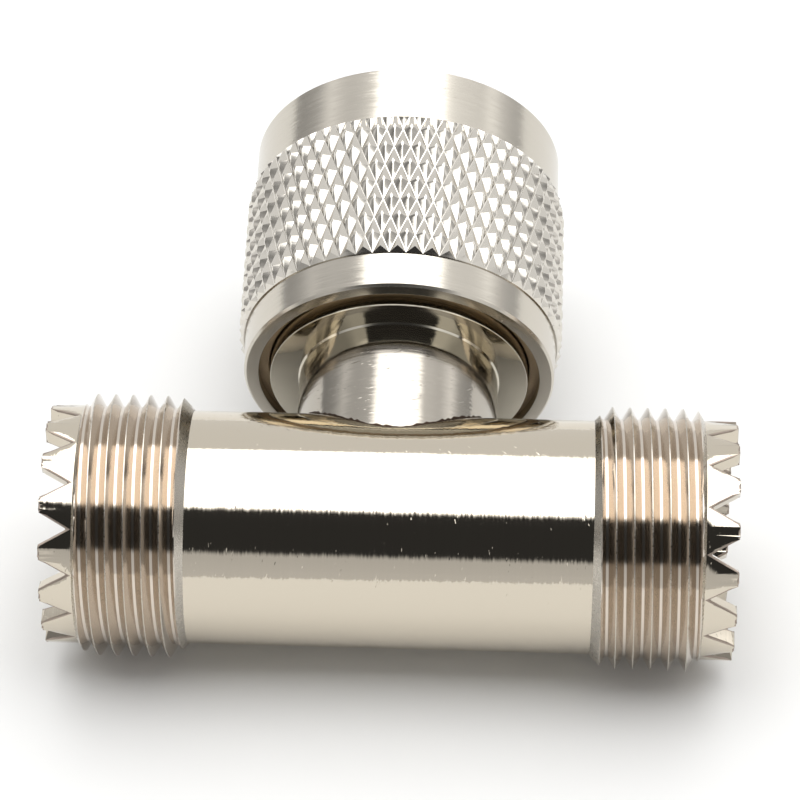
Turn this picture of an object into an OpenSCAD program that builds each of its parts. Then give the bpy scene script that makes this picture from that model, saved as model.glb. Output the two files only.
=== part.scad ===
// Tee adapter for 4 mm coaxial connectors: a run with two threaded sockets
// and a branch with a plug and its captive, diamond-knurled coupling nut.
// The run lies along X and the plug points along +Y. The origin is the centre
// of the plug's mating face. Lengths along the branch are measured from the
// run's axis. The sockets' thread is the plain cylinder over its crests.

/* [Run body] */
// Length of the run from crown tip to crown tip
run_len = 41.3; // [38:0.1:60]
// Diameter of the smooth barrel
barrel_d = 14.1; // [13.4:0.1:15]
// Diameter over the crests of the socket thread
thread_d = 15.8; // [15.4:0.1:18]
// Length of each socket thread, with its run-out and lead chamfer
thread_len = 6.6; // [5:0.1:8]
// Length of the cone where the thread runs out towards the barrel
thread_runout = 0.6; // [0.3:0.05:1]
// Length of the chamfer that leads onto the thread
thread_lead = 0.3; // [0.1:0.05:0.6]
// Bore of the barrel between the two insulators
barrel_bore_d = 9.2; // [8.4:0.1:10.4]
// Length of that bore, which is the distance between the insulators
barrel_bore_len = 18; // [14:0.1:20]

/* [Socket crown] */
// Diameter of the crown
crown_d = 14.4; // [13.6:0.1:15.2]
// Height of the crown beyond the thread
crown_h = 1.97; // [1.8:0.05:3]
// Number of V notches round each crown
notch_count = 16; // [10:1:18]
// Depth of a notch below the crown's tips
notch_depth = 1.7; // [1:0.05:1.78]
// Angle between the two sides of a notch
notch_angle = 59; // [45:1:66]
// Turn of the left crown's notches about the run
notch_turn_left = 13.5; // [0:0.5:36]
// Turn of the right crown's notches about the run
notch_turn_right = 17.5; // [0:0.5:36]
// Bore of each socket
socket_bore_d = 12.24; // [11.4:0.02:12.6]
// Depth from the crown's tips to the insulator
socket_depth = 5; // [4.6:0.1:7]

/* [Plug shell] */
// Diameter of the neck between the run and the nut
neck_d = 12.3; // [11.4:0.1:13]
// Width of the small cone where the neck meets the flange face
neck_cone = 0.25; // [0.1:0.05:0.4]
// Diameter of the spigot that enters the side of the run
spigot_d = 9; // [8.2:0.1:10]
// Distance of the spigot's end from the run's axis
spigot_end = 5; // [4.6:0.1:6]
// Width of the channel between the flange face and the nut's rear rim
channel_w = 0.72; // [0.4:0.02:1.2]
// How far the flange face stands proud of the nut's rear face
flange_proud = 0.28; // [0:0.02:0.6]
// Gap all round between the shell's shoulder and the nut's inner thread
shoulder_gap = 0.25; // [0.15:0.05:0.6]
// Depth of the mating shoulder behind the nut's front face
mating_depth = 8.3; // [7:0.1:10]
// Diameter of the boss that enters a mating socket
boss_d = 11.6; // [10.8:0.1:12]
// Length of the boss in front of the shoulder
boss_len = 3.4; // [2.4:0.1:4.4]
// Height of the two locating teeth on the shoulder
tooth_h = 1.2; // [0.6:0.1:1.6]

/* [Coupling nut] */
// Distance of the nut's rear face from the run's axis
nut_rear = 11.44; // [10:0.02:16]
// Length of the nut
nut_len = 16.86; // [15.8:0.02:22]
// Bore that turns on the shell's land
land_bore_d = 17.44; // [17:0.02:17.8]
// Depth of that bore from the rear face
land_bore_depth = 4.16; // [3.6:0.02:6]
// Wall of the smooth rear rim round that bore
rim_wall = 0.91; // [0.7:0.01:1]
// Length of the rear rim
rim_len = 2.4; // [1.8:0.05:3]
// How far the smooth front band stands out beyond that bore
band_wall = 0.95; // [0.7:0.01:1]
// Chamfer on the rim's rear edge
edge_chamfer = 0.15; // [0.05:0.05:0.3]
// Chamfer on the band's front edge
front_chamfer = 0.16; // [0.1:0.02:0.6]
// Wall of the nut between the land bore and the bottom of the knurl's grooves
knurl_wall = 1.08; // [0.7:0.01:1.3]
// Depth of the knurl's grooves below the turned-off tips
knurl_depth = 0.3; // [0.2:0.02:0.4]
// Angle between the two sides of a knurl groove
knurl_groove_angle = 100; // [80:1:110]
// Length of the knurl
knurl_len = 10.55; // [8:0.05:12]
// Chamfer at each end of the knurl
knurl_chamfer = 0.3; // [0.1:0.05:0.4]
// Number of diamonds round the nut
knurl_count = 60; // [40:1:64]
// Angle of the knurl's grooves to the nut's axis
knurl_helix = 21.5; // [16:0.5:40]
// Bore over the crests of the inner thread
nut_thread_d = 14.9; // [14.7:0.05:15.2]
// Length of the chamfer that leads into the inner thread
nut_thread_lead = 0.6; // [0.3:0.1:1]

/* [Snap ring] */
// Thickness of the ring along the branch
ring_t = 0.8; // [0.5:0.05:1]
// Depth of the ring's front face behind the nut's rear face
ring_depth = 1.5; // [1.2:0.05:1.8]
// Depth of the nut's groove that holds the ring
groove_depth = 0.4; // [0.2:0.05:0.5]
// Gap between the ring's ends
ring_gap = 2; // [1:0.1:4]

/* [Contacts and insulators] */
// Diameter of the run contact inside the insulators
contact_d = 5.96; // [5.4:0.02:6.6]
// Diameter of the run contact between the insulators
collar_d = 7.2; // [6.8:0.1:7.6]
// Bore of each end of the run contact
contact_bore_d = 4; // [3.6:0.02:4.4]
// Depth of those bores
contact_bore_depth = 10.4; // [8:0.1:11]
// How far the run contact stands proud of the insulators
contact_proud = 0.3; // [0:0.05:0.6]
// Width of the slots that make the contact's ends springy
slot_w = 0.6; // [0.3:0.05:0.7]
// Length of those slots
slot_len = 6; // [4:0.1:8]
// Diameter of the plug's pin
pin_d = 3.96; // [3.6:0.02:4]
// Length of the pin in front of the mating face
pin_len = 8.1; // [6:0.1:10]
// Rounding of the pin's tip
pin_tip_r = 1.2; // [0.4:0.1:1.7]
// Diameter of the pin's stem inside the plug insulator
pin_stem_d = 3.6; // [3.3:0.02:3.7]
// Diameter of the pin's shank in the run contact
shank_d = 2.6; // [2:0.1:3]
// Depth of the stem's seat below the collar's surface
seat_depth = 0.6; // [0.5:0.02:0.8]
// Bore of the plug insulator and of the shell's neck
stem_d = 7.2; // [6.4:0.1:7.6]
// Diameter of the plug insulator's head
head_d = 9.6; // [8.4:0.1:10]
// Length of the plug insulator's head
head_len = 6.4; // [4:0.1:8]

/* [Clearances] */
// Gap all round between pieces that are pressed or soldered together
seat_gap = 0.02; // [0.01:0.005:0.04]
// Gap all round where the nut turns on the shell
turn_gap = 0.06; // [0.03:0.01:0.1]
// Play of the nut along the branch
end_play = 0.05; // [0.02:0.01:0.1]

/* [Hidden] */
$fn = 96;

// Length by which a cut runs past the surface that it opens
past = 1;

// Diameters of the nut and of the shell inside it
rim_d = land_bore_d + 2 * rim_wall;
band_d = land_bore_d + 2 * band_wall;
knurl_root_d = land_bore_d + 2 * knurl_wall;
knurl_d = knurl_root_d + 2 * knurl_depth;
flange_d = land_bore_d - 2 * channel_w;
shoulder_d = nut_thread_d - 2 * shoulder_gap;

// Places along the run, from its middle
run_end = run_len / 2;
thread_out = run_end - crown_h;
thread_in = thread_out - thread_len;
socket_face = run_end - socket_depth;
insulator_in = barrel_bore_len / 2;
contact_end = socket_face + contact_proud;

// Places along the branch, from the run's axis
nut_front = nut_rear + nut_len;
flange_face = nut_rear - flange_proud;
ring_front = nut_rear + ring_depth;
land_bore_end = nut_rear + land_bore_depth;
shoulder = nut_front - mating_depth;
mating_face = shoulder + boss_len;
head_back = mating_face - head_len;
pin_seat = collar_d / 2 - seat_depth;
pin_tip = mating_face + pin_len;
knurl_back = nut_rear + rim_len;
knurl_front = knurl_back + knurl_len;

// The knurl's mesh: a ring of points every half diamond, two to a diamond,
// with pointed tips, from the length past one end of the knurl to past the other
knurl_points = 2 * knurl_count;
knurl_half_w = PI * knurl_d / knurl_points;
knurl_rise = knurl_half_w / tan(knurl_helix);
knurl_peak_d = knurl_root_d + 2 * knurl_half_w * cos(knurl_helix) / tan(knurl_groove_angle / 2);
knurl_rows = ceil((knurl_len + 2 * past) / knurl_rise);
knurl_sunk = 0.05;
knurl_sunk_d = min(rim_d, band_d, knurl_root_d) - 0.6;

nickel = "silver";
bright_brass = "palegoldenrod";
insulation = "ivory";

module on_run() {
    translate([0, -mating_face, 0]) rotate([0, 90, 0]) children();
}

module on_branch() {
    translate([0, -mating_face, 0]) rotate([-90, 0, 0]) children();
}

// A round bar along Z between two heights
module bar(d, from, to) {
    translate([0, 0, from]) cylinder(d = d, h = to - from);
}

// One end of the run's outline, from the barrel to the crown's tip
function socket_outline() = [
    [barrel_d / 2, thread_in],
    [thread_d / 2, thread_in + thread_runout],
    [thread_d / 2, thread_out - thread_lead],
    [thread_d / 2 - thread_lead, thread_out],
    [crown_d / 2, thread_out],
    [crown_d / 2, run_end]
];

function flipped(points) = [for (i = [len(points) - 1:-1:0]) [points[i].x, -points[i].y]];

// V cuts round one crown, on the +Z end of the run
module crown_notches(turn) {
    cut_h = notch_depth + past;
    cut_w = cut_h * tan(notch_angle / 2);
    root = run_end - notch_depth;
    for (i = [0:notch_count - 1])
        rotate([0, 0, turn + i * 360 / notch_count])
            rotate([0, 90, 0])
                linear_extrude(thread_d)
                    polygon([[-root, 0], [-root - cut_h, cut_w], [-root - cut_h, -cut_w]]);
}

module run_body() {
    color(nickel) difference() {
        on_run() rotate_extrude()
            polygon(concat([[0, -run_end]], flipped(socket_outline()), socket_outline(), [[0, run_end]]));
        on_run() {
            bar(barrel_bore_d, -run_end, run_end);
            bar(socket_bore_d, insulator_in, run_end + past);
            bar(socket_bore_d, -run_end - past, -insulator_in);
            crown_notches(notch_turn_right);
            mirror([0, 0, 1]) crown_notches(notch_turn_left);
        }
        on_branch() bar(spigot_d + 2 * seat_gap, 0, barrel_d);
    }
}

// Two V teeth on the mating shoulder that drop into a socket's notches
module locating_teeth() {
    half_w = tooth_h * tan(notch_angle / 2);
    sunk = 0.3;
    for (turn = [0, 180])
        rotate([0, 0, turn])
            translate([0, 0, shoulder])
                rotate([90, 0, 90])
                    linear_extrude(shoulder_d / 2 - sunk)
                        polygon([[-half_w, -sunk], [half_w, -sunk], [half_w, 0], [0, tooth_h], [-half_w, 0]]);
}

module plug_shell() {
    land_d = land_bore_d - 2 * turn_gap;
    land_back = ring_front + end_play;
    land_front = land_bore_end - end_play;
    color(nickel) difference() {
        union() {
            difference() {
                on_branch() bar(neck_d, 0, flange_face + past);
                on_run() bar(barrel_d + 2 * seat_gap, -run_end, run_end);
            }
            on_branch() {
                bar(spigot_d, spigot_end, flange_face + past);
                rotate_extrude() polygon([
                    [0, flange_face - neck_cone], [neck_d / 2, flange_face - neck_cone],
                    [neck_d / 2 + neck_cone, flange_face], [flange_d / 2, flange_face],
                    [flange_d / 2, land_back], [land_d / 2, land_back],
                    [land_d / 2, land_front], [shoulder_d / 2, land_front],
                    [shoulder_d / 2, shoulder], [boss_d / 2, shoulder],
                    [boss_d / 2, mating_face], [0, mating_face]
                ]);
                locating_teeth();
            }
        }
        on_branch() {
            bar(stem_d, 0, mating_face);
            bar(head_d, head_back, mating_face + past);
        }
    }
}

// Knurled bar as one mesh: grooves meet at every even point of the grid and
// each odd point is the tip of a diamond, so all edges follow the grooves
module knurled_bar() {
    function even(m, n) = (m + n) % 2 == 0;
    function point(m, n) = let (a = m * 360 / knurl_points, r = (even(m, n) ? knurl_root_d : knurl_peak_d) / 2)
        [r * cos(a), r * sin(a), knurl_back - past + n * knurl_rise];
    function index(m, n) = n * knurl_points + m % knurl_points;
    function cell(m, n) = let (a = index(m, n), b = index(m + 1, n), c = index(m + 1, n + 1), d = index(m, n + 1))
        even(m, n) ? [[a, d, c], [a, c, b]] : [[a, d, b], [b, d, c]];
    points = [for (n = [0:knurl_rows], m = [0:knurl_points - 1]) point(m, n)];
    sides = [for (n = [0:knurl_rows - 1], m = [0:knurl_points - 1], triangle = cell(m, n)) triangle];
    back = [for (m = [0:knurl_points - 1]) index(m, 0)];
    front = [for (m = [knurl_points - 1:-1:0]) index(m, knurl_rows)];
    polyhedron(points, concat(sides, [back, front]));
}

// The knurled bar turned down to its diameter, chamfered at both ends and
// sunk a little into the rim and the band
module knurl() {
    intersection() {
        knurled_bar();
        rotate_extrude() polygon([
            [0, knurl_back - knurl_sunk], [knurl_sunk_d / 2, knurl_back - knurl_sunk],
            [knurl_sunk_d / 2, knurl_back], [knurl_d / 2 - knurl_chamfer, knurl_back],
            [knurl_d / 2, knurl_back + knurl_chamfer], [knurl_d / 2, knurl_front - knurl_chamfer],
            [knurl_d / 2 - knurl_chamfer, knurl_front], [knurl_sunk_d / 2, knurl_front],
            [knurl_sunk_d / 2, knurl_front + knurl_sunk], [0, knurl_front + knurl_sunk]
        ]);
    }
}

module nut_blank() {
    rotate_extrude() polygon([
        [0, nut_rear], [rim_d / 2 - edge_chamfer, nut_rear],
        [rim_d / 2, nut_rear + edge_chamfer], [rim_d / 2, knurl_back], [0, knurl_back]
    ]);
    knurl();
    rotate_extrude() polygon([
        [0, knurl_front], [band_d / 2, knurl_front],
        [band_d / 2, nut_front - front_chamfer],
        [band_d / 2 - front_chamfer, nut_front], [0, nut_front]
    ]);
}

module nut_bore() {
    groove_r = land_bore_d / 2 + groove_depth;
    groove_front = ring_front + seat_gap;
    groove_back = ring_front - ring_t - seat_gap;
    rotate_extrude() polygon([
        [0, nut_rear - past], [land_bore_d / 2, nut_rear - past],
        [land_bore_d / 2, groove_back], [groove_r, groove_back],
        [groove_r, groove_front], [land_bore_d / 2, groove_front],
        [land_bore_d / 2, land_bore_end], [nut_thread_d / 2, land_bore_end],
        [nut_thread_d / 2, nut_front - nut_thread_lead],
        [nut_thread_d / 2 + nut_thread_lead, nut_front],
        [nut_thread_d / 2 + nut_thread_lead, nut_front + past], [0, nut_front + past]
    ]);
}

module coupling_nut() {
    color(nickel) on_branch() difference() {
        union() nut_blank();
        nut_bore();
    }
}

module nut_snap_ring() {
    outer = land_bore_d / 2 + groove_depth - seat_gap;
    inner = flange_d / 2 + turn_gap;
    color(nickel) on_branch() difference() {
        bar(2 * outer, ring_front - ring_t, ring_front);
        bar(2 * inner, ring_front - ring_t - past, ring_front + past);
        translate([-ring_gap / 2, 0, ring_front - ring_t - past])
            cube([ring_gap, outer + past, ring_t + 2 * past]);
    }
}

// The bore and crossed spring slots of the contact's +Z end
module contact_mouth() {
    bar(contact_bore_d, contact_end - contact_bore_depth, contact_end + past);
    for (turn = [45, 135])
        rotate([0, 0, turn])
            translate([-collar_d / 2, -slot_w / 2, contact_end - slot_len])
                cube([collar_d, slot_w, slot_len + past]);
}

module run_contact() {
    color(bright_brass) difference() {
        on_run() {
            bar(contact_d, -contact_end, contact_end);
            bar(collar_d, -insulator_in, insulator_in);
        }
        on_run() {
            contact_mouth();
            mirror([0, 0, 1]) contact_mouth();
        }
        on_branch() {
            bar(shank_d + 2 * seat_gap, -shank_d / 2, collar_d);
            bar(pin_stem_d + 2 * seat_gap, pin_seat, collar_d);
        }
    }
}

module plug_pin() {
    shank_end = seat_gap - shank_d / 2;
    color(nickel) on_branch() rotate_extrude() union() {
        polygon([
            [0, shank_end], [shank_d / 2, shank_end],
            [shank_d / 2, pin_seat], [pin_stem_d / 2, pin_seat],
            [pin_stem_d / 2, mating_face], [pin_d / 2, mating_face],
            [pin_d / 2, pin_tip - pin_tip_r], [pin_d / 2 - pin_tip_r, pin_tip - pin_tip_r],
            [pin_d / 2 - pin_tip_r, pin_tip], [0, pin_tip]
        ]);
        intersection() {
            translate([pin_d / 2 - pin_tip_r, pin_tip - pin_tip_r]) circle(pin_tip_r);
            translate([pin_d / 2 - pin_tip_r, pin_tip - pin_tip_r]) square(pin_tip_r);
        }
    }
}

// The insulator of the +Z socket
module socket_insulator() {
    difference() {
        bar(socket_bore_d - 2 * seat_gap, insulator_in, socket_face);
        bar(contact_d + 2 * seat_gap, insulator_in - past, socket_face + past);
    }
}

module left_insulator() {
    color(insulation) on_run() mirror([0, 0, 1]) socket_insulator();
}

module right_insulator() {
    color(insulation) on_run() socket_insulator();
}

module plug_insulator() {
    color(insulation) on_branch() difference() {
        union() {
            bar(stem_d - 2 * seat_gap, spigot_end, mating_face);
            bar(head_d - 2 * seat_gap, head_back, mating_face);
        }
        bar(pin_stem_d + 2 * seat_gap, 0, mating_face + past);
    }
}

run_body();
plug_shell();
coupling_nut();
nut_snap_ring();
run_contact();
plug_pin();
left_insulator();
right_insulator();
plug_insulator();
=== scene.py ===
import math
import random

import bmesh
import bpy
from bpy.props import FloatProperty, FloatVectorProperty, IntProperty, PointerProperty
from mathutils import Matrix, Vector


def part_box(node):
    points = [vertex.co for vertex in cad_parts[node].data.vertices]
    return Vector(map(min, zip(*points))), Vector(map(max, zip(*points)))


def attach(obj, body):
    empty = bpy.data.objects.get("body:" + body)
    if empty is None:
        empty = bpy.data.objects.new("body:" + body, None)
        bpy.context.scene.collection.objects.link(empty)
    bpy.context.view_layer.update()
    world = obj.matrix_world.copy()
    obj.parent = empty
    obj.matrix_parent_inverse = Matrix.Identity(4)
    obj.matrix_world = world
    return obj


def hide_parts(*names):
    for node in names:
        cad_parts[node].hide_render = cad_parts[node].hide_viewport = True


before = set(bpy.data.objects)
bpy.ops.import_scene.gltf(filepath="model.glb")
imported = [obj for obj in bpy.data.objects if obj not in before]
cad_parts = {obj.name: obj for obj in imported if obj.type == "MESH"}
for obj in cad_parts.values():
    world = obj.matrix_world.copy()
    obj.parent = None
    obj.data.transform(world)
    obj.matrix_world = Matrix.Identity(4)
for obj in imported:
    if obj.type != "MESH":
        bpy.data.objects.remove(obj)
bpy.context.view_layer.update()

bl_info = {
    "name": "Coaxial Tee Adapter",
    "version": (1, 0, 0),
    "blender": (4, 5, 0),
    "location": "View3D > Sidebar > Tee Adapter",
    "description": "Dresses the tee adapter's CAD frame with turned, threaded and knurled pieces",
    "category": "Add Mesh",
}

# Meshes are made in millimetres with their axis along Z, then set on the run or the branch in metres
MILLIMETRE = 0.001
RING = 192  # flats round a turned piece, a multiple of two per crown notch
MERGE = 1e-4  # points nearer than this are one
SHARP = math.radians(34)  # an edge that bends more than this is drawn sharp
FIT = 0.02  # play between parts that are pressed into each other
CROWN_LIP = 0.04  # plain turn between a thread and its crown
SHANK_R, SHANK_END, SHANK_SEAT, STEM_R = 1.3, -1.28, 3.0, 1.8  # the pin behind its tip, from the run's axis
NECK_FLOOR = 5.0  # distance from the run's axis at which the neck's bore begins

insulator_low, insulator_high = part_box("right_insulator")
run_low, run_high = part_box("run_body")
nut_low, nut_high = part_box("coupling_nut")
RUN_AXIS = Vector((0, (insulator_low.y + insulator_high.y) / 2, 0))
ON_RUN = Matrix.Translation(RUN_AXIS) @ Matrix.Rotation(math.radians(90), 4, "Y") @ Matrix.Scale(MILLIMETRE, 4)
ON_BRANCH = Matrix.Translation(RUN_AXIS) @ Matrix.Rotation(math.radians(-90), 4, "X") @ Matrix.Scale(MILLIMETRE, 4)
MATING = -RUN_AXIS.y / MILLIMETRE  # the plug's mating face is at the frame's origin


def length(name, description, default):
    """A length property whose default is given in metres."""
    return FloatProperty(name=name, description=description, default=default, unit="LENGTH", precision=5, min=0)


def linear(hex_code):
    """An sRGB hex value as the linear colour that shaders take."""
    parts = [int(hex_code[i : i + 2], 16) / 255 for i in (1, 3, 5)]
    return [c / 12.92 if c <= 0.04045 else ((c + 0.055) / 1.055) ** 2.4 for c in parts] + [1.0]


def colour(name, description, hex_code):
    """A colour property whose default is given as an sRGB hex value."""
    return FloatVectorProperty(
        name=name, description=description, default=linear(hex_code), size=4, subtype="COLOR", min=0, max=1
    )


class RunSettings(bpy.types.PropertyGroup):
    """Sizes of the run with its two threaded sockets."""

    run_len: length("Run length", "Length from crown tip to crown tip", run_high.x - run_low.x)
    barrel_d: length("Barrel", "Diameter of the smooth barrel", 0.0141)
    thread_d: length("Thread crests", "Diameter over the crests of the thread", 0.0158)
    thread_depth: length("Thread depth", "Height of the thread's crests over its roots", 0.00072)
    thread_pitch: length("Thread pitch", "Distance from one crest to the next", 0.0254 / 24)
    thread_len: length("Thread length", "Length of each thread with its run-out", 0.0066)
    crown_d: length("Crown", "Diameter of the notched crown", 0.0144)
    crown_h: length("Crown height", "Height of the crown beyond the thread", 0.00197)
    notch_count: IntProperty(name="Notches", description="V notches round each crown", default=16, min=8, max=24)
    notch_depth: length("Notch depth", "Depth of a notch below the tips", 0.0017)
    notch_angle: FloatProperty(
        name="Notch angle", description="Angle between a notch's sides", default=math.radians(59), subtype="ANGLE"
    )
    left_turn: FloatProperty(
        name="Left crown turn", description="Turn of the left notches", default=math.radians(13.5), subtype="ANGLE"
    )
    right_turn: FloatProperty(
        name="Right crown turn", description="Turn of the right notches", default=math.radians(17.5), subtype="ANGLE"
    )
    socket_bore_d: length("Socket bore", "Bore of each socket", 0.01224)
    barrel_bore_d: length("Barrel bore", "Bore between the insulators", 0.0092)


class PlugSettings(bpy.types.PropertyGroup):
    """Sizes of the plug's shell, pin and insulator."""

    neck_d: length("Neck", "Diameter of the neck", 0.0123)
    spigot_d: length("Spigot", "Diameter of the spigot in the run's side", 0.009)
    flange_d: length("Flange", "Diameter of the flange inside the nut's rim", 0.016)
    land_d: length("Land", "Diameter of the land that the nut turns on", 0.01732)
    shoulder_d: length("Shoulder", "Diameter behind the mating shoulder", 0.0144)
    boss_d: length("Boss", "Diameter of the boss that enters a socket", 0.0116)
    boss_len: length("Boss length", "Length of the boss", 0.0034)
    tooth_h: length("Tooth height", "Height of the two locating teeth on the shoulder", 0.0012)
    pin_d: length("Pin", "Diameter of the centre pin", 0.00396)
    stem_d: length("Neck bore", "Bore of the neck for the insulator", 0.0072)
    head_d: length("Head bore", "Bore for the insulator's head", 0.0096)
    head_len: length("Head length", "Length of the insulator's head", 0.0064)


class NutSettings(bpy.types.PropertyGroup):
    """Sizes of the knurled coupling nut."""

    rear: length("Rear face", "Distance of the rear face from the run's axis", nut_low.y - RUN_AXIS.y)
    front: length("Front face", "Distance of the front face from the run's axis", nut_high.y - RUN_AXIS.y)
    rim_d: length("Rim", "Diameter of the smooth rear rim at its edge, a little under its front", 0.01926)
    rim_len: length("Rim length", "Length of the rear rim", 0.0024)
    band_d: length("Band", "Diameter of the smooth front band", 0.01934)
    knurl_d: length("Knurl", "Diameter over the knurl's blunt tips", 0.0202)
    knurl_depth: length("Knurl depth", "Depth of the knurl's grooves", 0.0003)
    knurl_len: length("Knurl length", "Length of the knurl", 0.01055)
    knurl_slope: FloatProperty(
        name="Knurl slope", description="Slope of a diamond's facets", default=math.radians(40), subtype="ANGLE"
    )
    edge: length("Rear edge", "Chamfer of the nut's outer rear edge", 0.00015)
    knurl_row: length("Knurl row", "Distance along the nut between rows of diamonds", 0.00136)
    knurl_count: IntProperty(name="Diamonds", description="Diamonds round the nut", default=60, min=30, max=90)
    land_bore_d: length("Land bore", "Bore that turns on the land", 0.01744)
    land_bore_depth: length("Land bore depth", "Depth of that bore", 0.00416)
    thread_d: length("Inner thread", "Bore over the inner thread's crests", 0.0149)


class FinishSettings(bpy.types.PropertyGroup):
    """Colours of the finishes and the stage."""

    nickel: colour("Nickel plate", "Bright, slightly warm nickel of the run", "#CFC6B6")
    thread_nickel: colour("Threaded nickel", "Nickel in the thread, a little redder", "#D0C6BA")
    worn_nickel: colour("Worn nickel", "Dulled nickel on crests and tool-cut cones", "#BDB7AD")
    edge_nickel: colour("Edge nickel", "Tarnish on the crowns' worn edges", "#A2958A")
    shell_nickel: colour("Shell nickel", "Nickel of the flange and pin", "#C9C3B5")
    neck_nickel: colour("Neck nickel", "Duller nickel of the neck", "#AFA99F")
    nut_nickel: colour("Nut nickel", "Nearly neutral nickel of the nut", "#C9C3B8")
    knurl_nickel: colour("Knurl nickel", "Paler nickel of the rolled knurl", "#D6D1C8")
    # Seam: the nearly black brown of a ragged line along the foot of the neck where it meets the barrel
    seam: colour("Seam", "Brown tarnish where the neck meets the barrel", "#40342B")
    spring: colour("Spring wire", "Brown spring bronze", "#AC9A82")
    brass: colour("Contact brass", "Gilt brass of the contacts", "#D9B66B")
    insulation: colour("Insulation", "Ivory PTFE", "#EDE6D6")
    paper: colour("Floor", "White studio paper", "#E6E6E5")


class StageSettings(bpy.types.PropertyGroup):
    """The camera and the studio."""

    camera_place: FloatVectorProperty(
        name="Camera", description="Place of the camera", default=(0.0071514, -0.1559838, 0.2023991),
        size=3, subtype="TRANSLATION", unit="LENGTH",
    )
    camera_yaw: FloatProperty(name="Yaw", description="Turn about Z", default=-0.049255, subtype="ANGLE")
    camera_pitch: FloatProperty(name="Pitch", description="Turn below the horizon", default=0.957239, subtype="ANGLE")
    camera_roll: FloatProperty(name="Roll", description="Turn about the lens", default=-0.014568, subtype="ANGLE")
    lens: FloatProperty(name="Lens", description="Focal length on a 36 mm sensor", default=180, min=20, unit="CAMERA")
    softbox: FloatProperty(name="Softbox", description="Brightness of the softbox overhead", default=3.3, min=0)


class TeeSettings(bpy.types.PropertyGroup):
    """All settings of the tee adapter."""

    run: PointerProperty(type=RunSettings)
    plug: PointerProperty(type=PlugSettings)
    nut: PointerProperty(type=NutSettings)
    finish: PointerProperty(type=FinishSettings)
    stage: PointerProperty(type=StageSettings)


def mm(metres):
    return metres / MILLIMETRE


def radius(vert):
    return math.hypot(vert.co.x, vert.co.y)


# Turning, threading and joining


def everything(bm):
    return bm.verts[:] + bm.edges[:] + bm.faces[:]


def verts_in(geom):
    return [g for g in geom if isinstance(g, bmesh.types.BMVert)]


def edges_in(geom):
    return [g for g in geom if isinstance(g, bmesh.types.BMEdge)]


def outline(points, closed=False):
    """A wire of (radius, height) points in a new bmesh; a third number eases that corner."""
    bm = bmesh.new()
    verts = [bm.verts.new((p[0], 0, p[1])) for p in points]
    for pair in zip(verts, verts[1:] + verts[:1] if closed else verts[1:]):
        bm.edges.new(pair)
    for ease in sorted({p[2] for p in points if len(p) > 2}):
        corners = [v for v, p in zip(verts, points) if len(p) > 2 and p[2] == ease]
        bmesh.ops.bevel(
            bm, geom=corners, offset=ease, offset_type="OFFSET", affect="VERTICES", segments=3, profile=0.5,
            material=-1,
        )
    return bm


def turned(points, closed=False, start=0.0):
    """An outline spun once round Z, as on a lathe."""
    bm = outline(points, closed)
    bmesh.ops.rotate(bm, verts=bm.verts, cent=(0, 0, 0), matrix=Matrix.Rotation(start, 3, "Z"))
    bmesh.ops.spin(
        bm, geom=bm.verts[:] + bm.edges[:], cent=(0, 0, 0), axis=(0, 0, 1), angle=math.tau, steps=RING, use_merge=True
    )
    bmesh.ops.remove_doubles(bm, verts=bm.verts, dist=MERGE)
    return bm


def join(bm, part):
    """Puts another bmesh's geometry into bm and frees it."""
    mesh = bpy.data.meshes.new("part")
    part.to_mesh(mesh)
    part.free()
    bm.from_mesh(mesh)
    bpy.data.meshes.remove(mesh)


def open_ring(bm, height, ring_r=None):
    """The open edges that lie round Z at a height, and at a radius if one is given."""
    near, level = 0.02, 0.002

    def on_ring(vert):
        return abs(vert.co.z - height) < level and (ring_r is None or abs(radius(vert) - ring_r) < near)

    return [e for e in bm.edges if e.is_boundary and all(on_ring(v) for v in e.verts)]


def bridge(bm, first, second):
    """Joins two open rings by faces in the piece's first material."""
    made = bmesh.ops.bridge_loops(bm, edges=first + second)
    if not made["faces"]:
        raise RuntimeError("two open rings could not be joined")
    for face in made["faces"]:
        face.material_index = 0


def threaded(low, high, pitch, crest_r, root_r, crest_at, flank_cuts):
    """A right-hand thread from low to high with a crest at crest_at on the far side from X."""
    crest_flat, root_flat, near = 0.06, 0.16, 0.02
    sign = 1 if crest_r > root_r else -1
    turns = math.ceil((high - low) / pitch) + 2
    first = crest_at - pitch / 2
    first -= pitch * math.ceil((first - low) / pitch + 1)
    bm = bmesh.new()
    section = [
        (root_r, -pitch / 2), (root_r, -pitch / 2 + root_flat / 2), (crest_r, -crest_flat / 2),
        (crest_r, crest_flat / 2), (root_r, pitch / 2 - root_flat / 2), (root_r, pitch / 2),
    ]
    verts = [bm.verts.new((r, 0, first + z)) for r, z in section]
    edges = [bm.edges.new(pair) for pair in zip(verts, verts[1:])]
    bmesh.ops.subdivide_edges(bm, edges=[edges[1], edges[3]], cuts=flank_cuts)
    bmesh.ops.spin(
        bm, geom=bm.verts[:] + bm.edges[:], cent=(0, 0, 0), axis=(0, 0, 1), dvec=(0, 0, pitch / RING),
        angle=math.tau, steps=RING,
    )
    one_turn = everything(bm)
    for turn in range(1, turns):
        made = bmesh.ops.duplicate(bm, geom=one_turn)["geom"]
        bmesh.ops.translate(bm, verts=verts_in(made), vec=(0, 0, turn * pitch))
    bmesh.ops.remove_doubles(bm, verts=bm.verts, dist=MERGE)
    for height, side in ((low, -1), (high, 1)):
        bmesh.ops.bisect_plane(
            bm, geom=everything(bm), dist=1e-6, plane_co=(0, 0, height), plane_no=(0, 0, side), clear_outer=True
        )
    for face in bm.faces:
        face.material_index = 2 if all(sign * (radius(v) - crest_r) > -near for v in face.verts) else 1
    return bm


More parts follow.
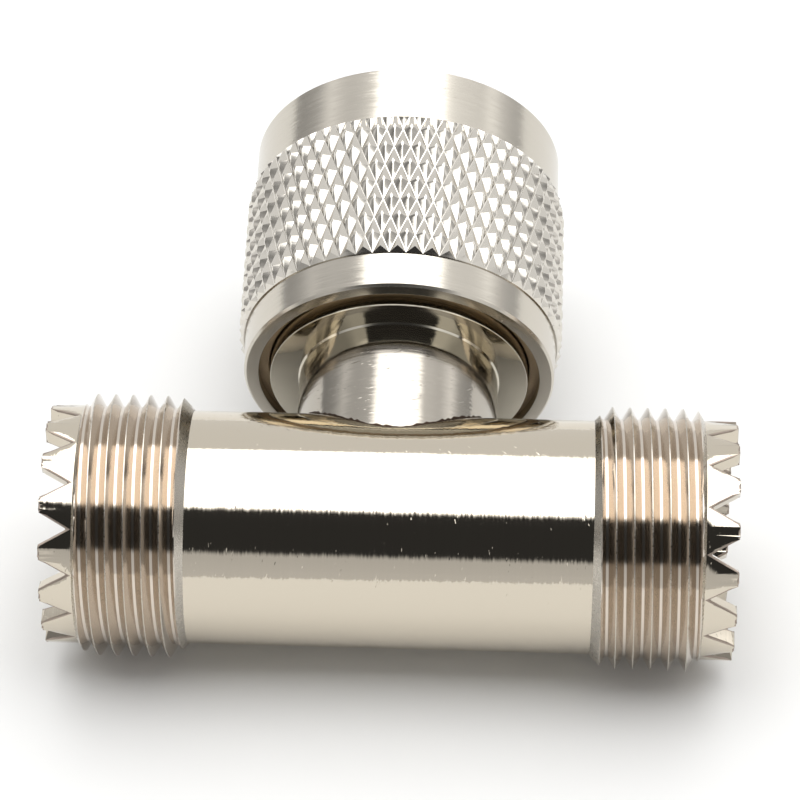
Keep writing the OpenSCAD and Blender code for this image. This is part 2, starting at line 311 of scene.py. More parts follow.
def cone_cut(bm, cone_at, sign=1):
    """Turns a thread down to a cone, or out to it for an inner thread (sign -1), which dulls it."""
    cut = set()
    for vert in bm.verts:
        limit, now = cone_at(vert.co.z), radius(vert)
        if sign * (now - limit) > -MERGE:
            vert.co.xy *= limit / now
            cut.add(vert)
    for face in bm.faces:
        if all(v in cut for v in face.verts):
            face.material_index = 2


def crown(run, turn):
    """The notched crown of the +Z socket, open at its base."""
    half = math.pi / run.notch_count
    tip, base = mm(run.run_len) / 2, mm(run.run_len / 2 - run.crown_h) + CROWN_LIP
    root = tip - mm(run.notch_depth)
    slope = math.tan(run.notch_angle / 2)
    outer, inner = mm(run.crown_d) / 2, mm(run.socket_bore_d) / 2
    bm = outline([(outer, base), (outer, tip), (inner, tip), (inner, base)])
    turn_back = Matrix.Rotation(-half, 3, "Z")
    bmesh.ops.rotate(bm, verts=bm.verts, cent=(0, 0, 0), matrix=turn_back)
    bmesh.ops.spin(
        bm, geom=bm.verts[:] + bm.edges[:], cent=(0, 0, 0), axis=(0, 0, 1), angle=half,
        steps=RING // run.notch_count // 2,
    )
    cut = bmesh.ops.bisect_plane(
        bm, geom=everything(bm), dist=1e-6, plane_co=(0, 0, root),
        plane_no=turn_back @ Vector((0, 1, -slope)), clear_inner=True,
    )["geom_cut"]
    bmesh.ops.contextual_create(bm, geom=edges_in(cut))
    bmesh.ops.mirror(bm, geom=everything(bm), matrix=Matrix(), merge_dist=MERGE, axis="Y")
    bmesh.ops.spin(
        bm, geom=everything(bm), cent=(0, 0, 0), axis=(0, 0, 1),
        angle=math.tau - 2 * half, steps=run.notch_count - 1, use_duplicate=True,
    )
    bmesh.ops.remove_doubles(bm, verts=bm.verts, dist=MERGE)
    bmesh.ops.recalc_face_normals(bm, faces=bm.faces)
    tip_round, worn, across = 0.26, 0.12, 0.5
    tips = [
        e for e in bm.edges
        if min(v.co.z for v in e.verts) > tip - MERGE and abs(radius(e.verts[0]) - radius(e.verts[1])) > across
        and e.calc_face_angle(0) > SHARP
    ]
    bmesh.ops.bevel(
        bm, geom=tips, offset=tip_round, offset_type="OFFSET", affect="EDGES", segments=3, profile=0.5, material=-1
    )
    corners = [e for e in bm.edges if not e.is_boundary and e.calc_face_angle(0) > SHARP]
    eased = bmesh.ops.bevel(
        bm, geom=corners, offset=worn, offset_type="OFFSET", affect="EDGES", segments=2, profile=0.5, material=-1
    )
    for face in eased["faces"]:
        face.material_index = 3
    bmesh.ops.rotate(bm, verts=bm.verts, cent=(0, 0, 0), matrix=Matrix.Rotation(turn - half, 3, "Z"))
    return bm


def new_object(name, bm):
    """Links a bmesh to the scene as an object and frees it."""
    mesh = bpy.data.meshes.new(name)
    bm.to_mesh(mesh)
    bm.free()
    obj = bpy.data.objects.new(name, mesh)
    bpy.context.scene.collection.objects.link(obj)
    return obj


def cut_away(obj, bm, place):
    """Cuts a bmesh out of a piece and keeps the result as the piece's mesh."""
    bmesh.ops.recalc_face_normals(bm, faces=bm.faces)
    bmesh.ops.transform(bm, matrix=place, verts=bm.verts)
    cutter = new_object("cutter", bm)
    modifier = obj.modifiers.new("cut", "BOOLEAN")
    modifier.operation, modifier.solver, modifier.object = "DIFFERENCE", "EXACT", cutter
    shown = obj.evaluated_get(bpy.context.evaluated_depsgraph_get())
    mesh = bpy.data.meshes.new_from_object(shown)
    obj.modifiers.remove(modifier)
    obj.data = mesh
    bpy.data.meshes.remove(cutter.data)


def piece(name, bm, place, body, node, materials, cuts=(), flat=None):
    """Sets a bmesh in the frame as a piece that stands for a CAD node; faces of material flat stay unsmoothed."""
    bmesh.ops.dissolve_degenerate(bm, edges=bm.edges, dist=MERGE / 10)
    bmesh.ops.recalc_face_normals(bm, faces=bm.faces)
    bmesh.ops.transform(bm, matrix=place, verts=bm.verts)
    for face in bm.faces:
        face.smooth = face.material_index != flat
    obj = new_object(name, bm)
    for material in materials:
        obj.data.materials.append(material)
    for cutter, cut_place in cuts:
        cut_away(obj, cutter, cut_place)
    obj.data.set_sharp_from_angle(angle=SHARP)
    obj.modifiers.new("flat_faces", "WEIGHTED_NORMAL").keep_sharp = True
    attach(obj, body)
    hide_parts(node)


# Finishes


def add_node(tree, kind, inputs=None, stops=None, **settings):
    """Adds a node with its settings, its colour stops and its inputs, which are values or sockets."""
    node = tree.nodes.new(kind)
    for name, value in settings.items():
        setattr(node, name, value)
    for key, value in (inputs or {}).items():
        if isinstance(value, bpy.types.NodeSocket):
            tree.links.new(value, node.inputs[key])
        else:
            node.inputs[key].default_value = value
    if stops:
        stops, ramp = list(stops), node.color_ramp
        while len(ramp.elements) < len(stops):
            ramp.elements.new(1)
        for element, (place, shade) in zip(ramp.elements, stops):
            element.position, element.color = place, (shade, shade, shade, 1) if isinstance(shade, float) else shade
    return node


def new_material(name):
    material = bpy.data.materials.new(name)
    material.use_nodes = True
    material.node_tree.nodes.clear()
    return material, material.node_tree


def nickel(name, tint, rough, axis="X", tool=0.03, scuffs=0.3, mottle=0.04):
    """Nickel plate on turned brass: near mirror, warm, with tool marks round its axis and short scuffs."""
    material, tree = new_material(name)
    place = add_node(tree, "ShaderNodeTexCoord").outputs["Object"]
    facing = add_node(tree, "ShaderNodeNewGeometry").outputs["Normal"]
    # Tool marks are about 0.12 mm apart and run some 3 mm round the axis; scuffs are 0.08 by 0.6 mm, askew
    leans = []
    for fine, long, askew, detail in ((0.125, 3.3, 0.0, 3.0), (0.08, 0.6, 0.6, 2.0)):
        size = [(fine if letter == axis else long) * MILLIMETRE for letter in "XYZ"]
        stretched = add_node(
            tree, "ShaderNodeMapping", {"Vector": place, "Rotation": [askew] * 3, "Scale": size},
            vector_type="TEXTURE",
        ).outputs["Vector"]
        noise = add_node(tree, "ShaderNodeTexNoise", {"Vector": stretched, "Scale": 1.0, "Detail": detail}).outputs
        lean = add_node(
            tree, "ShaderNodeVectorMath", {0: noise["Color"], 1: (0.5, 0.5, 0.5)}, operation="SUBTRACT"
        ).outputs["Vector"]
        leans.append((noise["Fac"], lean))
    (mark, mark_lean), (scuff, scuff_lean) = leans
    scuffed = add_node(
        tree, "ShaderNodeMapRange", {"Value": scuff, "From Min": 0.66, "From Max": 0.72, "To Max": scuffs}
    ).outputs["Result"]
    marked = add_node(
        tree, "ShaderNodeVectorMath", {0: mark_lean, 1: (tool, tool, tool), 2: facing}, operation="MULTIPLY_ADD"
    ).outputs["Vector"]
    scratch = add_node(
        tree, "ShaderNodeVectorMath", {0: scuff_lean, "Scale": scuffed}, operation="SCALE"
    ).outputs["Vector"]
    both = add_node(tree, "ShaderNodeVectorMath", {0: marked, 1: scratch}, operation="ADD").outputs["Vector"]
    normal = add_node(tree, "ShaderNodeVectorMath", {0: both}, operation="NORMALIZE").outputs["Vector"]
    roughness = add_node(
        tree, "ShaderNodeMapRange",
        {"Value": mark, "From Min": 0.35, "From Max": 0.7, "To Min": rough, "To Max": rough + mottle},
    ).outputs["Result"]
    shader = add_node(
        tree, "ShaderNodeBsdfPrincipled",
        {"Base Color": tint, "Metallic": 1.0, "Roughness": roughness, "Normal": normal},
    )
    add_node(tree, "ShaderNodeOutputMaterial", {"Surface": shader.outputs["BSDF"]})
    return material


def plain(name, tint, rough, metallic=0.0, grain=1.111):
    """A finish with fine grain, of a size in mm, in its roughness and its surface."""
    material, tree = new_material(name)
    place = add_node(tree, "ShaderNodeTexCoord").outputs["Object"]
    cloud = add_node(
        tree, "ShaderNodeTexNoise", {"Vector": place, "Scale": 1 / (grain * MILLIMETRE), "Detail": 4.0}
    ).outputs["Fac"]
    mottle, dent = 0.08, 0.02 * MILLIMETRE
    roughness = add_node(
        tree, "ShaderNodeMapRange", {"Value": cloud, "To Min": rough - mottle, "To Max": rough + mottle}
    ).outputs["Result"]
    bump = add_node(tree, "ShaderNodeBump", {"Height": cloud, "Strength": 0.1, "Distance": dent}).outputs["Normal"]
    shader = add_node(
        tree, "ShaderNodeBsdfPrincipled",
        {"Base Color": tint, "Metallic": metallic, "Roughness": roughness, "Normal": bump},
    )
    add_node(tree, "ShaderNodeOutputMaterial", {"Surface": shader.outputs["BSDF"]})
    return material


# Operators


class TEE_OT_run_body(bpy.types.Operator):
    """Turns the run: barrel, two right-hand threads and two notched crowns"""

    bl_idname = "tee.run_body"
    bl_label = "Run Body"

    def execute(self, context):
        tee = context.scene.tee_adapter
        run = tee.run
        crest_r, root_r = mm(run.thread_d) / 2, mm(run.thread_d / 2 - run.thread_depth)
        crown_r, bore_r = mm(run.crown_d) / 2, mm(run.socket_bore_d) / 2
        barrel_r, inner_r = mm(run.barrel_d) / 2, mm(run.barrel_bore_d) / 2
        out = mm(run.run_len / 2 - run.crown_h)
        into = out - mm(run.thread_len)
        insulator = mm(insulator_low.x)
        crest_places = {-1: -15.68, 1: 15.41}  # one crest along the top of each thread
        run_out, lead_in = 1.05, 1.6  # rise of the cones at a thread's ends
        bm = bmesh.new()
        for side, turn in ((-1, run.left_turn), (1, run.right_turn)):
            end = crown(run, turn)
            bmesh.ops.scale(end, vec=(1, 1, side), verts=end.verts)
            join(bm, end)
            low, high = sorted((side * into, side * out))
            thread = threaded(low, high, mm(run.thread_pitch), crest_r, root_r, crest_places[side], 5)
            cone_cut(thread, lambda z: barrel_r + (side * z - into) * run_out)
            cone_cut(thread, lambda z: crown_r + (out - side * z) * lead_in)
            join(bm, thread)
            bridge(bm, open_ring(bm, side * out), open_ring(bm, side * (out + CROWN_LIP), crown_r))
        bridge(bm, open_ring(bm, -into), open_ring(bm, into))
        margin = 1.0
        wall = out - margin
        join(bm, turned([
            (bore_r, wall), (bore_r, insulator), (inner_r, insulator),
            (inner_r, -insulator), (bore_r, -insulator), (bore_r, -wall),
        ], start=run.right_turn))
        for side in (-1, 1):
            bridge(bm, open_ring(bm, side * wall), open_ring(bm, side * (out + CROWN_LIP), bore_r))
        finish = tee.finish
        hole_r = mm(tee.plug.spigot_d) / 2 + FIT
        hole = turned([(0, margin), (hole_r, margin), (hole_r, barrel_r + margin), (0, barrel_r + margin)])
        piece("tee_run", bm, ON_RUN, "tee", "run_body", [
            # Bright plate on turned brass: a warm mirror with ragged streak edges and a few scuffs
            nickel("turned_bright_nickel", finish.nickel, 0.05, tool=0.06, scuffs=1.0),
            # Plate in the thread: a softer, redder mirror
            nickel("threaded_nickel", finish.thread_nickel, 0.1, tool=0.05),
            # Plate worn on crests and cones: a grey sparkle of 0.2 mm grain
            plain("worn_crest_nickel", finish.worn_nickel, 0.28, metallic=1.0, grain=0.2),
            # Plate worn through at the crowns' edges: matt brown lines that part the bright faces
            plain("tarnished_edge_nickel", finish.edge_nickel, 0.48, metallic=1.0, grain=1 / 3),
        ], cuts=[(hole, ON_BRANCH)])
        return {"FINISHED"}


class TEE_OT_plug_shell(bpy.types.Operator):
    """Turns the plug's shell and copes its neck to the run"""

    bl_idname = "tee.plug_shell"
    bl_label = "Plug Shell"

    def execute(self, context):
        tee = context.scene.tee_adapter
        plug, nut = tee.plug, tee.nut
        neck_r, spigot_r = mm(plug.neck_d) / 2, mm(plug.spigot_d) / 2
        flange_r, land_r, shoulder_r = mm(plug.flange_d) / 2, mm(plug.land_d) / 2, mm(plug.shoulder_d) / 2
        boss_r, head_r, stem_r = mm(plug.boss_d) / 2, mm(plug.head_d) / 2, mm(plug.stem_d) / 2
        saddle_gap, proud, fillet, gloss, ring_room, land_gap = 0.005, 0.28, 0.1, 1.6, 1.55, 0.05
        saddle_r = mm(tee.run.barrel_d) / 2 + saddle_gap
        flange_face = mm(nut.rear) - proud
        land_back, land_front = mm(nut.rear) + ring_room, mm(nut.rear + nut.land_bore_depth) - land_gap
        shoulder, head_back = MATING - mm(plug.boss_len), MATING - mm(plug.head_len)
        coped, seam, satin_end = 0.0, 0.14, flange_face - gloss
        bm = turned([
            (neck_r, coped), (neck_r, seam), (neck_r, satin_end), (neck_r, flange_face - fillet),
            (neck_r + fillet, flange_face), (flange_r, flange_face, 0.06), (flange_r, land_back),
            (land_r, land_back), (land_r, land_front, 0.06), (shoulder_r, land_front), (shoulder_r, shoulder, 0.1),
            (boss_r, shoulder), (boss_r, MATING, 0.2), (head_r, MATING, 0.08), (head_r, head_back),
            (stem_r, head_back), (stem_r, NECK_FLOOR), (spigot_r, NECK_FLOOR), (spigot_r, coped),
        ], closed=True)
        for face in bm.faces:
            top = max(v.co.z for v in face.verts)
            if top < satin_end + MERGE and all(abs(radius(v) - neck_r) < MERGE for v in face.verts):
                face.material_index = 2 if top < seam + MERGE else 1
        # The foot is coped to the barrel, with a seam of ragged height over it
        ragged, shares = random.Random(7), (0.3, 0.6, 1.0, 1.3)
        for vert in bm.verts:
            if vert.co.z < seam + MERGE:
                vert.co.z = math.sqrt(saddle_r**2 - vert.co.y**2) + vert.co.z * ragged.choice(shares)
        sunk = 0.3  # how far a tooth reaches into the shoulder and the boss
        tooth_h, tooth_in, tooth_out = mm(plug.tooth_h), boss_r - sunk, shoulder_r - sunk
        half_w = tooth_h * math.tan(tee.run.notch_angle / 2)
        for side in (-1, 1):
            tooth = bmesh.new()
            section = ((-half_w, -sunk), (half_w, -sunk), (half_w, 0), (0, tooth_h), (-half_w, 0))
            verts = [tooth.verts.new((side * tooth_in, y, shoulder + z)) for y, z in section]
            end = bmesh.ops.contextual_create(tooth, geom=verts)["faces"]
            made = bmesh.ops.extrude_face_region(tooth, geom=end, use_keep_orig=True)["geom"]
            for vert in verts_in(made):
                vert.co.x = side * tooth_out
            join(bm, tooth)
        piece("plug_shell_turned", bm, ON_BRANCH, "tee", "plug_shell", [
            # Plate on the flange: a clear mirror of the neck and the run
            nickel("turned_shell_nickel", tee.finish.shell_nickel, 0.06, axis="Y"),
            # Plate on the neck: a duller satin with one broad streak and short scuffs
            nickel("satin_neck_nickel", tee.finish.neck_nickel, 0.11, axis="Y", tool=0.06, scuffs=0.8, mottle=0.06),
            # A ragged, nearly black brown line along the foot of the neck where it is set on the barrel
            plain("dark_seam_line", tee.finish.seam, 0.5, metallic=1.0, grain=0.25),
        ])
        return {"FINISHED"}


class TEE_OT_coupling_nut(bpy.types.Operator):
    """Turns, threads and knurls the coupling nut"""

    bl_idname = "tee.coupling_nut"
    bl_label = "Coupling Nut"

    def knurl(self, nut, low, high, foot_r):
        """Rows of blunt diamonds, laid out flat, chamfered at both ends and rolled round the nut."""
        half_turn = math.pi / nut.knurl_count
        depth, row = mm(nut.knurl_depth), mm(nut.knurl_row)
        root_r = mm(nut.knurl_d) / 2 - depth
        half_w = root_r * half_turn
        groove, ridge, facet = 0.03, 0.025, depth / math.tan(nut.knurl_slope)
        # Place of one groove crossing: angle round the branch and distance from the run's axis
        crossing_turn, crossing_at = math.radians(2.5 - 90), 19.3
        bm = bmesh.new()
        verts = [bm.verts.new(p) for p in ((-half_w, 0, 0), (0, -row, 0), (half_w, 0, 0), (0, row, 0))]
        diamond = bmesh.ops.contextual_create(bm, geom=verts)["faces"]
        diamond[0].normal_update()
        if diamond[0].normal.z < 0:
            bmesh.ops.reverse_faces(bm, faces=diamond)
        bmesh.ops.inset_individual(bm, faces=diamond, thickness=groove, use_even_offset=True)
        bmesh.ops.inset_individual(bm, faces=diamond, thickness=facet, depth=depth, use_even_offset=True)
        bmesh.ops.bevel(
            bm, geom=[e for e in bm.edges if max(v.co.z for v in e.verts) > depth / 2], offset=ridge,
            offset_type="OFFSET", affect="EDGES", segments=2, profile=0.5, material=-1,
        )
        tile = everything(bm)
        first, last = math.floor((low - crossing_at) / row), math.ceil((high - crossing_at) / row)
        for k in range(first, last + 1):
            made = bmesh.ops.duplicate(bm, geom=tile)["geom"]
            bmesh.ops.translate(bm, verts=verts_in(made), vec=((k % 2 + 1) * half_w, crossing_at + k * row, 0))
        bmesh.ops.delete(bm, geom=verts_in(tile), context="VERTS")
        bmesh.ops.remove_doubles(bm, verts=bm.verts, dist=MERGE)
        for end, side in ((low, -1), (high, 1)):
            # Tips near an end are pressed down to a 45 degree chamfer
            bmesh.ops.bisect_plane(bm, geom=everything(bm), dist=1e-6, plane_co=(0, end, 0), plane_no=(0, side, 1))
            for vert in bm.verts:
                vert.co.z = min(vert.co.z, side * (end - vert.co.y))
            cut = bmesh.ops.bisect_plane(
                bm, geom=everything(bm), dist=1e-6, plane_co=(0, end, 0), plane_no=(0, side, 0), clear_outer=True
            )["geom_cut"]
            made = bmesh.ops.extrude_edge_only(bm, edges=[e for e in edges_in(cut) if e.is_boundary])["geom"]
            for vert in verts_in(made):
                vert.co.z = foot_r - root_r
        for vert in bm.verts:
            x, along, height = vert.co
            turn = crossing_turn + x / root_r
            vert.co = ((root_r + height) * math.cos(turn), (root_r + height) * math.sin(turn), along)
        bmesh.ops.spin(
            bm, geom=everything(bm), cent=(0, 0, 0), axis=(0, 0, 1),
            angle=math.tau - 2 * half_turn, steps=nut.knurl_count - 1, use_duplicate=True,
        )
        bmesh.ops.remove_doubles(bm, verts=bm.verts, dist=10 * MERGE)
        for face in bm.faces:
            face.material_index = 1
        return bm

    def execute(self, context):
        tee = context.scene.tee_adapter
        nut = tee.nut
        rear, front, edge = mm(nut.rear), mm(nut.front), mm(nut.edge)
        low = rear + mm(nut.rim_len)
        high = low + mm(nut.knurl_len)
        rim_r, band_r, bore_r = mm(nut.rim_d) / 2, mm(nut.band_d) / 2, mm(nut.land_bore_d) / 2
        sunk, step, ease, front_edge, rim_taper = 0.06, 0.02, 0.06, 0.04, 0.09
        foot_r = mm(nut.knurl_d / 2 - nut.knurl_depth) - sunk
        thread_h, ledge, mouth_h = 0.6, 0.3, 0.1
        crest_r, thread_low, ledge_r = mm(nut.thread_d) / 2, rear + mm(nut.land_bore_depth), bore_r - ledge
        thread_root, mouth = crest_r + thread_h, front - mouth_h
        mouth_r, thread_high = thread_root + step, mouth - step
        # The groove for the snap ring
        groove_r, ring_back, ring_front = bore_r + 0.4, rear + 0.68, rear + 1.52
        bm = self.knurl(nut, low, high, foot_r)
        join(bm, turned([
            (foot_r, low - step), (rim_r + rim_taper, low - step), (rim_r, rear + edge), (rim_r - edge, rear),
            (bore_r, rear, ease), (bore_r, ring_back), (groove_r, ring_back), (groove_r, ring_front),
            (bore_r, ring_front), (bore_r, thread_low), (ledge_r, thread_low),
        ]))
        join(bm, turned([
            (foot_r, high + step), (band_r, high + step), (band_r, front - front_edge), (band_r - front_edge, front),
            (thread_root + mouth_h, front, ease), (mouth_r, mouth),
        ]))
        thread = threaded(thread_low, thread_high, mm(tee.run.thread_pitch), crest_r, thread_root, thread_low, 2)
        cone_cut(thread, lambda z: mouth_r - (thread_high - z), sign=-1)
        for face in thread.faces:
            face.material_index = 0
        join(bm, thread)
        bridge(bm, open_ring(bm, low, foot_r), open_ring(bm, low - step, foot_r))
        bridge(bm, open_ring(bm, high, foot_r), open_ring(bm, high + step, foot_r))
        bridge(bm, open_ring(bm, thread_high), open_ring(bm, mouth))
        inner = open_ring(bm, thread_low, ledge_r)
        bridge(bm, inner, [e for e in open_ring(bm, thread_low) if e not in inner])
        piece("knurled_nut", bm, ON_BRANCH, "nut", "coupling_nut", [
            # Plate on the turned rim and band: a satin with soft streaks and fine rings
            nickel("turned_nut_nickel", tee.finish.nut_nickel, 0.16, axis="Y", tool=0.07, mottle=0.06),
            # Plate on the rolled knurl: small flat mirrors, each white, grey or dark as a whole
            nickel("rolled_knurl_nickel", tee.finish.knurl_nickel, 0.09, axis="Y", tool=0.04, scuffs=0.1),
        ], flat=1)
        return {"FINISHED"}


class TEE_OT_snap_ring(bpy.types.Operator):
    """Bends the split ring that keeps the nut on the shell"""

    bl_idname = "tee.snap_ring"
    bl_label = "Snap Ring"

    def execute(self, context):
        tee = context.scene.tee_adapter
        rear = mm(tee.nut.rear)
        outer, inner = mm(tee.nut.land_bore_d) / 2 + 0.38, mm(tee.plug.flange_d) / 2 + 0.06
        back, ahead, ease, split_w = rear + 0.7, rear + 1.5, 0.12, 2.0
        half_split = split_w / outer / 2
        corners = ((inner, back), (outer, back), (outer, ahead), (inner, ahead))
        bm = outline([(*corner, ease) for corner in corners], closed=True)
        bmesh.ops.contextual_create(bm, geom=bm.edges[:])
        bmesh.ops.rotate(bm, verts=bm.verts, cent=(0, 0, 0), matrix=Matrix.Rotation(math.pi / 2 + half_split, 3, "Z"))
        bmesh.ops.spin(
            bm, geom=everything(bm), cent=(0, 0, 0), axis=(0, 0, 1), angle=math.tau - 2 * half_split, steps=RING
        )
        piece("snap_ring", bm, ON_BRANCH, "nut", "nut_snap_ring", [
            # Bronze wire, dulled: a brown floor in the gap round the flange
            plain("spring_bronze", tee.finish.spring, 0.5, metallic=1.0),
        ])
        return {"FINISHED"}


class TEE_OT_contacts(bpy.types.Operator):
    """Turns the run's slotted contact and the plug's pin"""

    bl_idname = "tee.contacts"
    bl_label = "Contacts"

    def execute(self, context):
        tee = context.scene.tee_adapter
        end, collar = mm(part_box("run_contact")[1].x), mm(insulator_low.x)
        contact_r, collar_r, bore_r = 2.98, 3.6, 2.0
        depth, drill_point, slot_w, slot_len, past = 10.4, 1.2, 0.6, 6.0, 1.0
        right = [
            (0, end - depth - drill_point), (bore_r, end - depth), (bore_r, end, 0.2), (contact_r, end, 0.25),
            (contact_r, collar), (collar_r, collar, 0.1),
        ]
        left = [(p[0], -p[1], *p[2:]) for p in reversed(right)]
        shank_r, stem_r = SHANK_R + FIT, STEM_R + FIT
        cross_hole = turned([
            (0, SHANK_END - FIT), (shank_r, SHANK_END - FIT), (shank_r, SHANK_SEAT), (stem_r, SHANK_SEAT),
            (stem_r, NECK_FLOOR), (0, NECK_FLOOR),
        ])
        cuts = [(cross_hole, ON_BRANCH)]
        for turn in (math.pi / 4, 3 * math.pi / 4):
            for side in (-1, 1):
                saw = bmesh.new()
                bmesh.ops.create_cube(saw, size=1)
                bmesh.ops.scale(saw, vec=(2.5 * contact_r, slot_w, slot_len + past), verts=saw.verts)
                bmesh.ops.translate(saw, vec=(0, 0, side * (end - (slot_len - past) / 2)), verts=saw.verts)
                bmesh.ops.rotate(saw, verts=saw.verts, cent=(0, 0, 0), matrix=Matrix.Rotation(turn, 3, "Z"))
                cuts.append((saw, ON_RUN))
        piece("socket_contact", turned(right + left), ON_RUN, "tee", "run_contact", [
            # Gilt on turned brass: a soft gold gloss
            nickel("gilt_brass", tee.finish.brass, 0.16),
        ], cuts=cuts)
        pin_r, tip, tip_round = mm(tee.plug.pin_d) / 2, mm(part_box("plug_pin")[1].y - RUN_AXIS.y), 1.19
        bm = turned([
            (0, SHANK_END), (SHANK_R, SHANK_END), (SHANK_R, SHANK_SEAT), (STEM_R, SHANK_SEAT), (STEM_R, MATING),
            (pin_r, MATING, 0.05), (pin_r, tip, tip_round), (0, tip),
        ])
        piece("plug_centre_pin", bm, ON_BRANCH, "tee", "plug_pin", [
            # Plate on the pin: a mirror with faint rings
            nickel("pin_nickel", tee.finish.shell_nickel, 0.1, axis="Y"),
        ])
        return {"FINISHED"}


class TEE_OT_insulators(bpy.types.Operator):
    """Turns the three insulators"""

    bl_idname = "tee.insulators"
    bl_label = "Insulators"

    def execute(self, context):
        tee = context.scene.tee_adapter
        # PTFE, turned: an ivory wax-like white with faint grain
        white = plain("turned_ptfe", tee.finish.insulation, 0.45)
        inner, outer = 3.0, mm(tee.run.socket_bore_d) / 2 - FIT
        back, face = mm(insulator_low.x), mm(insulator_high.x)
        for side, name, node in (
            (-1, "left_socket_insulator", "left_insulator"), (1, "right_socket_insulator", "right_insulator"),
        ):
            bm = turned([
                (inner, side * back), (inner, side * face, 0.12), (outer, side * face, 0.2), (outer, side * back),
            ], closed=True)
            piece(name, bm, ON_RUN, "tee", node, [white])
        plug, bore_r = tee.plug, STEM_R + FIT
        head_r, stem_r = mm(plug.head_d) / 2 - FIT, mm(plug.stem_d) / 2 - FIT
        head_back = MATING - mm(plug.head_len)
        bm = turned([
            (bore_r, NECK_FLOOR), (bore_r, MATING, 0.1), (head_r, MATING, 0.15), (head_r, head_back),
            (stem_r, head_back), (stem_r, NECK_FLOOR),
        ], closed=True)
        piece("plug_insulator_sleeve", bm, ON_BRANCH, "tee", "plug_insulator", [white])
        return {"FINISHED"}


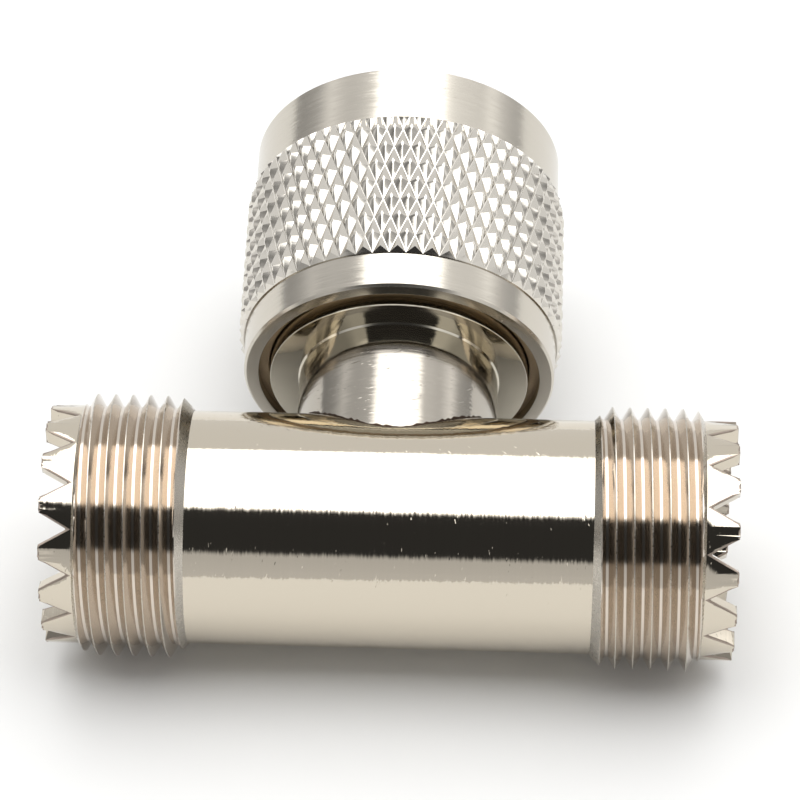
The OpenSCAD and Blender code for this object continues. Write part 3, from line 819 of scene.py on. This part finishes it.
class TEE_OT_stage(bpy.types.Operator):
    """Sets the floor, the studio and the camera"""

    bl_idname = "tee.stage"
    bl_label = "Stage"

    def floor(self, tee):
        """White paper that touches the threads and the knurl's near edge."""
        thread_r, knurl_r = tee.run.thread_d / 2, tee.nut.knurl_d / 2
        reach = tee.nut.rear + tee.nut.rim_len + tee.nut.knurl_depth
        drop = math.atan2(knurl_r, reach) - math.asin(thread_r / math.hypot(reach, knurl_r))
        half_size, gap = 3.0, 0.01 * MILLIMETRE
        bm = bmesh.new()
        bmesh.ops.create_grid(bm, x_segments=8, y_segments=8, size=half_size)
        slope = Matrix.Rotation(-drop, 4, "X")
        place = Matrix.Translation(RUN_AXIS) @ slope @ Matrix.Translation((0, 0, -thread_r - gap))
        bmesh.ops.transform(bm, matrix=place, verts=bm.verts)
        # Matt paper: an even white that keeps the shadows
        material, tree = new_material("studio_paper")
        paper = add_node(tree, "ShaderNodeBsdfDiffuse", {"Color": tee.finish.paper})
        add_node(tree, "ShaderNodeOutputMaterial", {"Surface": paper.outputs[0]})
        obj = new_object("floor", bm)
        obj.data.materials.append(material)

    def studio(self, tee):
        """A softbox overhead, pale walls and a dark opening above the camera, as one sky."""
        world = bpy.data.worlds.new("studio")
        bpy.context.scene.world = world
        world.use_nodes = True
        tree = world.node_tree
        tree.nodes.clear()
        way = add_node(tree, "ShaderNodeTexCoord").outputs["Generated"]
        split = add_node(tree, "ShaderNodeSeparateXYZ", {"Vector": way}).outputs
        ahead = add_node(tree, "ShaderNodeMath", {0: split["Y"], 1: -1.0}, operation="MULTIPLY").outputs[0]
        # Angle from the zenith over the run, towards the camera, as 0 to 1 for -180 to 180 degrees
        arc = add_node(tree, "ShaderNodeMath", {0: ahead, 1: split["Z"]}, operation="ARCTAN2").outputs[0]
        turn = add_node(
            tree, "ShaderNodeMapRange", {"Value": arc, "From Min": -math.pi, "From Max": math.pi}
        ).outputs["Result"]
        bright = tee.stage.softbox

        def ramp(value, *stops):
            return add_node(tree, "ShaderNodeValToRGB", {"Fac": value}, stops=stops).outputs["Color"]

        def by_turn(*stops, full=1.0):
            """Shades at degrees from the zenith, given as shares of full."""
            return ramp(turn, *((degrees / 360 + 0.5, shade / full) for degrees, shade in stops))

        # Over the run, from behind to in front: back wall, softbox and the front's pale wall
        over_run = by_turn(
            (-180, 0.9), (-52, 0.9), (-49, bright), (13, bright), (22, 0.9), (62, 0.64), (110, 0.85), full=bright
        )
        opening = by_turn((13, 0.0), (16, 1.0), (56, 1.0), (60, 0.0))
        aside = add_node(tree, "ShaderNodeMath", {0: split["X"], 1: 0.02}, operation="SUBTRACT").outputs[0]
        sideways = add_node(tree, "ShaderNodeMath", {0: aside}, operation="ABSOLUTE").outputs[0]
        # Half width of what hangs overhead: the back wall reaches further sideways than the softbox
        half_width = by_turn((-54, 0.68), (-52, 0.31), (-42, 0.31), (-36, 0.4))
        past = add_node(tree, "ShaderNodeMath", {0: sideways, 1: half_width}, operation="SUBTRACT").outputs[0]
        to_side = add_node(
            tree, "ShaderNodeMapRange", {"Value": past, "From Min": -0.07, "From Max": 0.07},
            interpolation_type="SMOOTHSTEP",
        ).outputs["Result"]
        in_opening = add_node(
            tree, "ShaderNodeMapRange", {"Value": sideways, "From Min": 0.56, "From Max": 0.53}
        ).outputs["Result"]
        dark = add_node(tree, "ShaderNodeMath", {0: opening, 1: in_opening}, operation="MULTIPLY").outputs[0]
        # The side walls are paler behind, in front and to the right, with a panel high up on each side
        wall = by_turn(
            (-90, 1.1), (-72, 1.4), (-58, 2.6), (-50, 1.2), (-41, 1.2), (-34, 0.7), (10, 0.7), (25, 1.15), full=bright
        )
        far_side = ramp(sideways, (0.33, 1.0), (0.6, 0.71), (0.68, 0.71), (0.78, 0.42))
        to_right = add_node(
            tree, "ShaderNodeMapRange",
            {"Value": split["X"], "From Min": -0.5, "From Max": 0.5, "To Min": 0.85, "To Max": 1.15},
        ).outputs["Result"]
        shaded = add_node(tree, "ShaderNodeMath", {0: far_side, 1: to_right}, operation="MULTIPLY").outputs[0]
        low_wall = add_node(tree, "ShaderNodeMath", {0: wall, 1: shaded}, operation="MULTIPLY").outputs[0]
        high = add_node(
            tree, "ShaderNodeMapRange",
            {"Value": split["Z"], "From Min": 0.58, "From Max": 0.64, "To Max": 1.9 / bright},
        ).outputs["Result"]
        overhead = by_turn((-27, 0.0), (-22, 1.0), (20, 1.0), (40, 0.0))
        panel = add_node(tree, "ShaderNodeMath", {0: high, 1: overhead}, operation="MULTIPLY").outputs[0]
        walls = add_node(tree, "ShaderNodeMath", {0: low_wall, 1: panel}, operation="MAXIMUM").outputs[0]
        lit = add_node(
            tree, "ShaderNodeMix", {"Factor": to_side, "A": over_run, "B": walls}, data_type="RGBA"
        ).outputs[2]
        black = 0.035 / bright
        sky = add_node(
            tree, "ShaderNodeMix", {"Factor": dark, "A": lit, "B": (black, black, black, 1)}, data_type="RGBA"
        ).outputs[2]
        room = add_node(tree, "ShaderNodeBackground", {"Color": sky, "Strength": bright}).outputs[0]
        add_node(tree, "ShaderNodeOutputWorld", {"Surface": room})

    def camera(self, stage):
        """The camera at the photograph's place, with no depth of field."""
        yaw, pitch = stage.camera_yaw, stage.camera_pitch
        forward = Vector((math.sin(yaw) * math.cos(pitch), math.cos(yaw) * math.cos(pitch), -math.sin(pitch)))
        right = Vector((math.cos(yaw), -math.sin(yaw), 0))
        up = right.cross(forward)
        axes = Matrix((right, up, -forward)).transposed() @ Matrix.Rotation(stage.camera_roll, 3, "Z")
        data = bpy.data.cameras.new("camera")
        data.sensor_width, data.lens = 36, stage.lens
        data.clip_start, data.clip_end = 0.01, 20
        camera = bpy.data.objects.new("camera", data)
        camera.matrix_world = Matrix.Translation(stage.camera_place) @ axes.to_4x4()
        bpy.context.scene.collection.objects.link(camera)
        bpy.context.scene.camera = camera

    def execute(self, context):
        tee = context.scene.tee_adapter
        self.floor(tee)
        self.studio(tee)
        self.camera(tee.stage)
        context.scene.view_settings.view_transform = "Standard"
        return {"FINISHED"}


class TEE_PT_panel(bpy.types.Panel):
    """Lists the steps that build the tee adapter"""

    bl_idname = "TEE_PT_panel"
    bl_label = "Tee Adapter"
    bl_space_type = "VIEW_3D"
    bl_region_type = "UI"
    bl_category = "Tee Adapter"

    def draw(self, context):
        for operator in OPERATORS:
            self.layout.operator(operator.bl_idname)


GROUPS = (RunSettings, PlugSettings, NutSettings, FinishSettings, StageSettings, TeeSettings)
OPERATORS = (
    TEE_OT_run_body, TEE_OT_plug_shell, TEE_OT_coupling_nut, TEE_OT_snap_ring, TEE_OT_contacts, TEE_OT_insulators,
    TEE_OT_stage,
)


def register():
    for cls in (*GROUPS, *OPERATORS, TEE_PT_panel):
        bpy.utils.register_class(cls)
    bpy.types.Scene.tee_adapter = PointerProperty(type=TeeSettings)


def unregister():
    del bpy.types.Scene.tee_adapter
    for cls in reversed((*GROUPS, *OPERATORS, TEE_PT_panel)):
        bpy.utils.unregister_class(cls)


def main():
    register()
    bpy.ops.tee.run_body()
    bpy.ops.tee.plug_shell()
    bpy.ops.tee.coupling_nut()
    bpy.ops.tee.snap_ring()
    bpy.ops.tee.contacts()
    bpy.ops.tee.insulators()
    bpy.ops.tee.stage()


if __name__ == "__main__":
    main()
